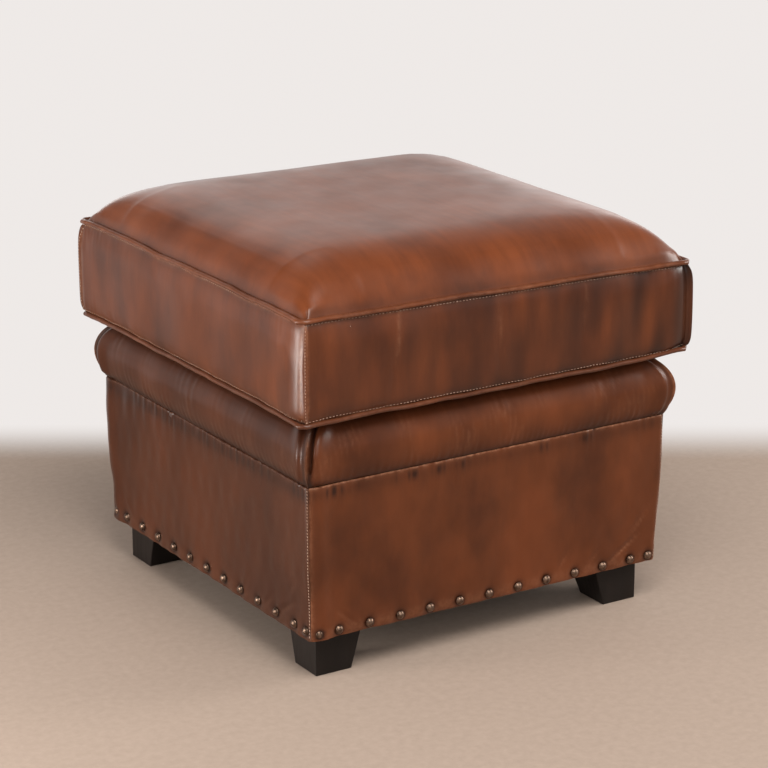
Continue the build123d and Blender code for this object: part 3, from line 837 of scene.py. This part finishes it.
def makePanel(side, quarter):
    piece = blockOut("sidePanel_" + side, (-1, -1, 0), (1, 0, 1), panel["parts"])
    points = readPoints(piece)
    u, outside, w = points[:, 0], points[:, 1] < -0.5, points[:, 2]
    rows = np.rint(w * math.prod(panel["parts"][2])).astype(int)
    w = w - 0.75 * np.sin(2 * math.pi * w) / (2 * math.pi)   # closer rows at the foot and the top
    z = panelLow.z + (panelHigh.z - panelLow.z) * w
    reach = panelReach(z)
    arc = panel["cornerRadius"]
    centre = reach - arc
    total = centre + arc * math.pi / 4
    s = u * total
    toEnd = total - np.abs(s)
    nailLow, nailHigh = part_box("nails_" + side)
    nailLevel = (nailLow.z + nailHigh.z) / 2
    seed = 110 + 20 * quarter
    place = columns(s, z)
    move = waviness(place, panel["slowWaves"], seed) + waviness(place, panel["quickWaves"], seed + 1)
    fromTop = panelHigh.z - z
    gather = ripple(columns(s / 0.012, z / 0.5), seed + 2)
    tight = np.clip(ripple(columns(s / 0.10, z * 0), seed + 3) + 0.5, 0, 1.4)
    move += panel["gather"] * gather * tight * fade(fromTop, 0.011)
    scallop = np.zeros(len(points))
    for spot in panel["nailSpots"]:
        gap = np.hypot(s - spot, z - nailLevel)
        scallop += bump(gap, 0.0085)
        lean = ripple(np.array([[spot * 40, 0.0]]), seed + 4)[0] * 0.35
        drawn = bump(s - spot - lean * (z - nailLevel), 0.006) * ease(z, nailLevel, nailLevel + 0.012)
        move -= 0.0005 * drawn * fade(z - nailLevel, 0.022)
    move -= panel["nailDimple"] * np.clip(scallop, 0, 1)
    move += 0.0008 * ease(-z, -nailLevel - 0.03, -nailLevel) * (1 - np.clip(scallop, 0, 1))
    pullWear = np.zeros(len(points))
    for spot, level, slope, length, depth in panel["pulls"]:
        jitter = 0.012 * ripple(np.array([[spot * 17, level * 31]]), seed + 5)[0] * (quarter > 0)
        bend = math.hypot(1, slope)
        acrossPull = (slope * (s - spot - jitter) - (z - level)) / bend
        alongPull = ((s - spot - jitter) + slope * (z - level)) / bend
        crease = bump(acrossPull, 0.0035) - 0.7 * bump(acrossPull + 0.006, 0.0045)
        move -= depth * crease * bump(alongPull, length * 0.55)
        pullWear += bump(acrossPull - 0.002, 0.0014) * bump(alongPull, length * 0.4) * depth / 0.0012
    move += panel["cornerFullness"] * fade(toEnd, 0.03) * (u > 0) - 0.0007 * bump(toEnd, 0.0025)
    move += panel["leftFullness"] * bump(toEnd - 0.015, 0.011) * (u < 0)
    move -= 0.0010 * ease(-fromTop, -0.0012, 0)   # the top edge is a folded lip
    move -= 0.0008 * ease(-(z - panelLow.z), -0.004, 0)   # the foot edge is folded under
    move *= np.where(outside, 1, 0)
    r = arc + move
    phi = np.clip(np.abs(s) - centre, 0, None) / arc
    x = np.where(np.abs(s) < centre, s, np.sign(s) * (centre + r * np.sin(phi)))
    y = -(centre + r * np.cos(phi))
    inner = boardOut + 0.0004
    back = np.where(rows <= 1, -panelHigh.y, inner)
    z = np.where(~outside & (rows == 1), boardFoot - 0.0002, z)
    z = np.where(~outside & (rows == 2), boardFoot - 0.0001, z)
    x = np.where(outside, x, u * (back - 0.0002))
    y = np.where(outside, y, -back)
    writePoints(piece, turnSide(columns(x, y, z), quarter))
    faceOutward(piece)
    ragged = 1 + 0.6 * ripple(columns(s / 0.012, z * 0), seed + 6)
    wear = 0.85 * fade(fromTop, 0.0017) * ragged + 0.45 * fade(toEnd, 0.0022) + 0.5 * pullWear
    wear += 0.15 * ease(-z, -nailLevel - 0.012, -nailLevel)
    # painted shade in the gathers and in a band under the roll
    drawn = np.clip(gather * tight, 0, 1) * (0.45 + 0.6 * fade(toEnd, 0.09) * (u < 0))
    dark = drawn * bump(fromTop - 0.009, 0.007) + 0.20 * bump(fromTop - 0.010, 0.010)
    # painted shade over the whole panel, far heavier on the left
    dark += 0.70 if side == "left" else 0.25
    # a painted shadow ring round each nail head
    ringGap = np.ones(len(points))
    for spot in panel["nailSpots"]:
        ringGap = np.minimum(ringGap, np.hypot(s - spot, z - nailLevel))
    dark += 0.8 * fade(np.maximum(ringGap - panel["headRadius"], 0), 0.0022)
    paint(piece, "wear", wear)
    paint(piece, "dark", dark)
    roundOver(piece, 50)
    dress(piece, baseLeather, "leather", "base", "side_panel_" + side, "side_wadding_" + side)


for quarter, side in enumerate(sides):
    makePanel(side, quarter)
print("side panels made")


# stitches

stitch = {
    "pitch": 0.0042,
    "length": 0.0029,
    "thick": 0.0011,
    "belowWelt": 0.0052,
    "baseStart": (-0.30, -0.297),       # where the rays towards a corner seam begin
    "baseReach": 0.07,
    "cushionStart": (-0.306, -0.3125),
    "cushionReach": 0.045,
    "rowPath": (0.33, 0.02),            # half side and corner radius of the line the rows are cast from
}


def sew(name, places, runs, body):  # one small oval bead copied along the seams
    clearSelection()
    bpy.ops.mesh.primitive_uv_sphere_add(segments=6, ring_count=4, radius=0.5)
    template = bpy.context.object
    shape = readPoints(template)
    faces = [tuple(face.vertices) for face in template.data.polygons]
    bpy.data.objects.remove(template)
    shape = columns(shape[:, 2] * stitch["length"], shape[:, 0] * stitch["thick"], shape[:, 1] * stitch["thick"])
    points, polygons = [], []
    for place, run in zip(places, runs):
        run = Vector(run).normalized()
        aside = run.orthogonal().normalized()
        up = run.cross(aside)
        first = len(points)
        for a, b, c in shape:
            points.append(Vector(place) + run * a + aside * b + up * c)
        polygons += [tuple(first + i for i in face) for face in faces]
    mesh = bpy.data.meshes.new(name)
    mesh.from_pydata([tuple(p) for p in points], [], polygons)
    piece = bpy.data.objects.new(name, mesh)
    bpy.context.scene.collection.objects.link(piece)
    faceOutward(piece)
    bpy.ops.object.shade_smooth()
    dress(piece, thread, "welt_leather", body)


def cornerStitches(owners, start, levels, run, reach):  # stitches dropped on to the four corner seams
    places, runs = [], []
    for quarter in range(4):
        starts = turnSide(columns(start[0] + levels * 0, start[1] + levels * 0, levels), quarter)
        way = Vector(turnSide(np.array([[1.0, 1.0, 0.0]]), quarter)[0]).normalized()
        turned = turnSide(np.array([run]), quarter)[0]
        for spot in starts:
            hit, spot, normal, _ = bpy.data.objects[owners[quarter]].ray_cast(Vector(spot), way, distance=reach)
            if hit:
                places.append(spot + normal * stitch["thick"] * 0.15)
                runs.append(turned)
    return places, runs


bpy.context.view_layer.update()
levels = np.arange(panelLow.z + 0.006, panelHigh.z - 0.004, stitch["pitch"])
owners = ["sidePanel_" + sides[(quarter + 3) % 4] for quarter in range(4)]
places, runs = cornerStitches(owners, stitch["baseStart"], levels, (0.0, 0.35, 1.0), stitch["baseReach"])
sew("stitchesBase", places, runs, "base")
print("stitches on the base:", len(places))

levels = np.arange(footSeam + 0.006, topSeam - 0.005, stitch["pitch"])
owners = ["cushionCover"] * 4
places, runs = cornerStitches(owners, stitch["cushionStart"], levels, (0.0, 0.0, 1.0), stitch["cushionReach"])
count = int(8 * cushion["seamHalf"] / stitch["pitch"])
t = (np.arange(count) + 0.5) / count
x, y, nx, ny = squarePath(t, *stitch["rowPath"])
straight = np.maximum(np.abs(nx), np.abs(ny)) > 0.999  # no rows round the corners
x, y, nx, ny = x[straight], y[straight], nx[straight], ny[straight]
lifts = seamLift(x, y)
for level in (topSeam + lifts[0] - stitch["belowWelt"], footSeam + lifts[1] + stitch["belowWelt"]):
    for k in range(len(x)):
        hit, spot, normal, _ = bpy.data.objects["cushionCover"].ray_cast(
            Vector((x[k], y[k], level[k])), Vector((-nx[k], -ny[k], 0)))
        if hit:
            places.append(spot + normal * stitch["thick"] * 0.1)
            runs.append((-ny[k], nx[k], 0))
sew("stitchesCushion", places, runs, "cushion")
print("stitches sewn")


# inside of the base: webbing, hessian, deck and dust cover

inside = {
    "strapWidth": 0.050,
    "strapThick": 0.0016,
    "straps": 5,
    "deckRows": (8, 9),
    "dustRows": (8, 8),
    "strapParts": ((8, 12), (6,), (1,)),
    "strapEnds": (0.045, 0.025),        # from here to there a strap comes down on the frame
    "padParts": ((6, 6), (6, 6), (4,)),
    "padEdge": 0.004,
    "deckSag": -0.0002,
}


def makeFlat(name, node, rows, finish, slot, wave, seed):  # a tacked cloth with a slow sag
    low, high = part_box(node)
    piece = blockOut(name, low, high, (rows, rows, (1,)))
    points = readPoints(piece)
    half = high.x
    hold = np.clip(1 - np.abs(points[:, :2] / half) ** 4, 0, 1).prod(axis=1)
    points[:, 2] += wave * hold * (0.6 + 0.4 * ripple(points[:, :2] / 0.12, seed))
    writePoints(piece, points)
    roundOver(piece, 40)
    dress(piece, finish, slot, "base", node)
    return piece, (high.x - low.x, high.y - low.y)


deck, size = makeFlat("deckCloth", "deck_cloth", inside["deckRows"], deckTwill, "deck_cloth", inside["deckSag"], 71)
cover, size = makeFlat("dustCover", "dust_cover", inside["dustRows"], dustCloth, "dust_cloth", 0.0, 72)
burlap, size = makeFlat("hessianSheet", "hessian", inside["dustRows"], hessianWeave, "hessian", 0.0, 73)

padLow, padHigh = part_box("deck_foam")
pad = blockOut("deckPad", padLow, padHigh, inside["padParts"])
padPoints = readPoints(pad)
middle = (padLow.z + padHigh.z) / 2
edge = (np.abs(padPoints[:, 2] - middle) / (padHigh.z - middle)) ** 2
padPoints[:, :2] *= (1 - inside["padEdge"] * edge)[:, None]
writePoints(pad, padPoints)
roundOver(pad, 50)
dress(pad, deckFoam, "foam", "base", "deck_foam")


def makeStraps(name, node, lengthwise):  # five straps that pass over and under the other five
    low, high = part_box(node)
    count, width, thick = inside["straps"], inside["strapWidth"], inside["strapThick"]
    spread = high.x if lengthwise else high.y
    reach = high.y if lengthwise else high.x
    pitch = (2 * spread - width) / (count - 1)
    middle, swing = (low.z + high.z) / 2, (high.z - low.z - thick) / 2
    straps = []
    for k in range(count):
        corner = Vector((reach, width / 2, thick / 2))
        strap = blockOut(name + str(k), -corner, corner, inside["strapParts"])
        points = readPoints(strap)
        wave = np.cos(math.pi * points[:, 0] / pitch + math.pi * (k + (1 if lengthwise else 0)))
        start, end = inside["strapEnds"]
        hold = 1 - ease(np.abs(points[:, 0]), reach - start, reach - end)
        lift = np.where(hold > 0, swing * np.tanh(2 * wave) / math.tanh(2) * hold, 0) - swing * (1 - hold)
        points[:, 2] += middle + lift
        points[:, 1] += (k - (count - 1) / 2) * pitch
        if lengthwise:
            points = columns(-points[:, 1], points[:, 0], points[:, 2])
        writePoints(strap, points)
        straps.append(strap)
    clearSelection()
    for strap in straps:
        strap.select_set(True)
    bpy.context.view_layer.objects.active = straps[0]
    bpy.ops.object.join()
    piece = namePiece(name)
    roundOver(piece, 40)
    dress(piece, juteWeave, "webbing", "base", node)


makeStraps("webbingCrosswise", "webbing_crosswise", False)
makeStraps("webbingLengthwise", "webbing_lengthwise", True)
print("base lining made")


# finishes on the rigid solids

rigid = {
    "nails_": bronze, "foot_": darkWood, "frame_board_": plywood, "corner_block_": softwood,
    "corner_plate_": plywood, "hanger_bolts": zinc, "tee_nuts": zinc, "frame_screws": zinc,
}
for name, node in frame["nodes"].items():
    for start, finish in rigid.items():
        if name.startswith(start):
            node.data.materials.clear()
            node.data.materials.append(finish)
print("rigid pieces finished")


# floor, light and camera

studio = {
    "floorNear": (0.328, 0.254, 0.206),
    "behind": (0.532, 0.847, 0.0),
    "floorFade": (0.47, 0.66),
    "backdrop": (0.86, 0.82, 0.80),
    "ambient": 0.52,
    "fillColour": (1, 0.98, 0.96, 1),
    "lampColour": (1.0, 0.97, 0.93),
    "high": ((0.25, 0.75), (1.0, 0.12)),      # what the leather mirrors, by height
    "skirt": ((0.0, 0.2), (0.05, 0.6), (0.12, 2.2), (0.20, 0.5), (0.30, 0.0)),
    "depth": ((-0.25, 0.35), (0.25, 1.0)),    # from front to back
    "aside": (                                # and from left to right
        (0.0, 0.5), (0.08, 0.9), (0.20, 2.2), (0.35, 1.7), (0.45, 1.0), (0.53, 0.54), (0.62, 1.4),
    ),
    "lamps": (
        ("leftBox", (-1.75, -0.25, 0.75), (-0.29, -0.10, 0.45), (1.1, 0.50), 9.6),
        ("cornerStrip", (-1.30, 0.15, 0.25), (-0.29, -0.25, 0.40), (0.14, 0.50), 9.0),
        ("topBox", (-0.5, -1.35, 2.15), (0, 0, 0.4), (1.2, 1.2), 49.0),
        ("frontBox", (-0.6, -3.0, 1.4), (0, 0, 0.20), (1.4, 1.2), 18.0),
        ("rightBox", (2.3, -0.9, 1.2), (0.3, -0.1, 0.0), (1.2, 0.8), 38.0),
    ),
    "eye": (-1.91277, -3.04457, 1.42326),
    "look": (0.0, 0.0, 0.25),
    "shiftRight": 0.0072,
    "shiftUp": 0.023,
    "lens": 132.7,
}


def directRays(tree):  # rays that come straight from the camera, and mirrored ones
    path = addNode(tree, "ShaderNodeLightPath")
    direct = sums(tree, "MAXIMUM", path.outputs["Is Camera Ray"], path.outputs["Is Transmission Ray"])
    return direct, path.outputs["Is Glossy Ray"]


def makeFloor():
    clearSelection()
    bpy.ops.mesh.primitive_plane_add(size=14, location=(0, 0, 0))
    floor = namePiece("floor")
    finish, tree, shader = newFinish("paleFloor")
    place = objectCoords(tree)
    sockets = {0: place, 1: studio["behind"]}
    distance = addNode(tree, "ShaderNodeVectorMath", sockets, operation="DOT_PRODUCT").outputs["Value"]
    near, far = studio["floorFade"]
    sockets = {"Value": distance, "From Min": near, "From Max": far}
    away = addNode(tree, "ShaderNodeMapRange", sockets, interpolation_type="SMOOTHSTEP").outputs["Result"]
    speck = tones(tree, place, (90, 5, 0.65), (0.3, 0.90), (0.7, 1.08))
    colour = blendColour(tree, "MULTIPLY", 0.8, studio["floorNear"], speck)
    tree.links.new(colour, shader.inputs["Base Color"])
    shader.inputs["Roughness"].default_value = 0.75
    shader.inputs["Specular IOR Level"].default_value = 0.2
    seen = sums(tree, "MAXIMUM", *directRays(tree))
    glow = addNode(tree, "ShaderNodeEmission", {"Color": (*studio["backdrop"], 1), "Strength": 1.0})
    share = sums(tree, "MULTIPLY", away, seen)   # far off, the floor turns into the pale backdrop
    both = addNode(tree, "ShaderNodeMixShader", {0: share, 1: shader.outputs[0], 2: glow.outputs[0]})
    tree.links.new(both.outputs[0], tree.nodes["Material Output"].inputs["Surface"])
    floor.data.materials.append(finish)


def makeWorld():
    world = bpy.data.worlds.new("studio")
    bpy.context.scene.world = world
    world.use_nodes = True
    tree = world.node_tree
    tree.nodes.clear()
    seen, mirrored = directRays(tree)
    around = addNode(tree, "ShaderNodeSeparateXYZ", {0: addNode(tree, "ShaderNodeTexCoord").outputs["Generated"]})
    x, y, z = (around.outputs[axis] for axis in "XYZ")
    skirt = ramp(tree, z, [(spot, grey(light)) for spot, light in studio["skirt"]])
    aside = ramp(tree, x, [(spot, grey(light)) for spot, light in studio["aside"]])
    behind = sums(tree, "ADD", mapped(tree, z, *studio["high"]), skirt)
    behind = sums(tree, "MULTIPLY", behind, mapped(tree, y, *studio["depth"]))
    behind = sums(tree, "MULTIPLY", behind, aside)
    back = addNode(tree, "ShaderNodeBackground", {"Color": (*studio["backdrop"], 1), "Strength": 1.0})
    gloss = addNode(tree, "ShaderNodeBackground", {"Color": (*studio["backdrop"], 1), "Strength": behind})
    fill = addNode(tree, "ShaderNodeBackground", {"Color": studio["fillColour"], "Strength": studio["ambient"]})
    soft = addNode(tree, "ShaderNodeMixShader", {0: mirrored, 1: fill.outputs[0], 2: gloss.outputs[0]})
    both = addNode(tree, "ShaderNodeMixShader", {0: seen, 1: soft.outputs[0], 2: back.outputs[0]})
    addNode(tree, "ShaderNodeOutputWorld", {"Surface": both.outputs[0]})


def makeLamps():
    for name, place, target, size, power in studio["lamps"]:
        clearSelection()
        bpy.ops.object.light_add(type="AREA", location=place)
        lamp = bpy.context.object
        lamp.name = name
        lamp.data.shape = "RECTANGLE"
        lamp.data.size, lamp.data.size_y = size
        lamp.data.energy = power
        lamp.data.color = studio["lampColour"]
        lamp.rotation_euler = (Vector(target) - Vector(place)).to_track_quat("-Z", "Y").to_euler()


def makeCamera():
    eye, look = Vector(studio["eye"]), Vector(studio["look"])
    ahead = (look - eye).normalized()
    right = ahead.cross(Vector((0, 0, 1))).normalized()
    up = right.cross(ahead)
    aim = look + right * studio["shiftRight"] + up * studio["shiftUp"]
    clearSelection()
    bpy.ops.object.camera_add(location=eye)
    camera = bpy.context.object
    camera.name = "photoCamera"
    camera.rotation_euler = (aim - eye).to_track_quat("-Z", "Y").to_euler()
    camera.data.lens = studio["lens"]
    camera.data.sensor_width = 36
    bpy.context.scene.camera = camera


makeFloor()
makeWorld()
makeLamps()
makeCamera()
bpy.context.scene.view_settings.view_transform = "Standard"
print("stage, light and camera set")
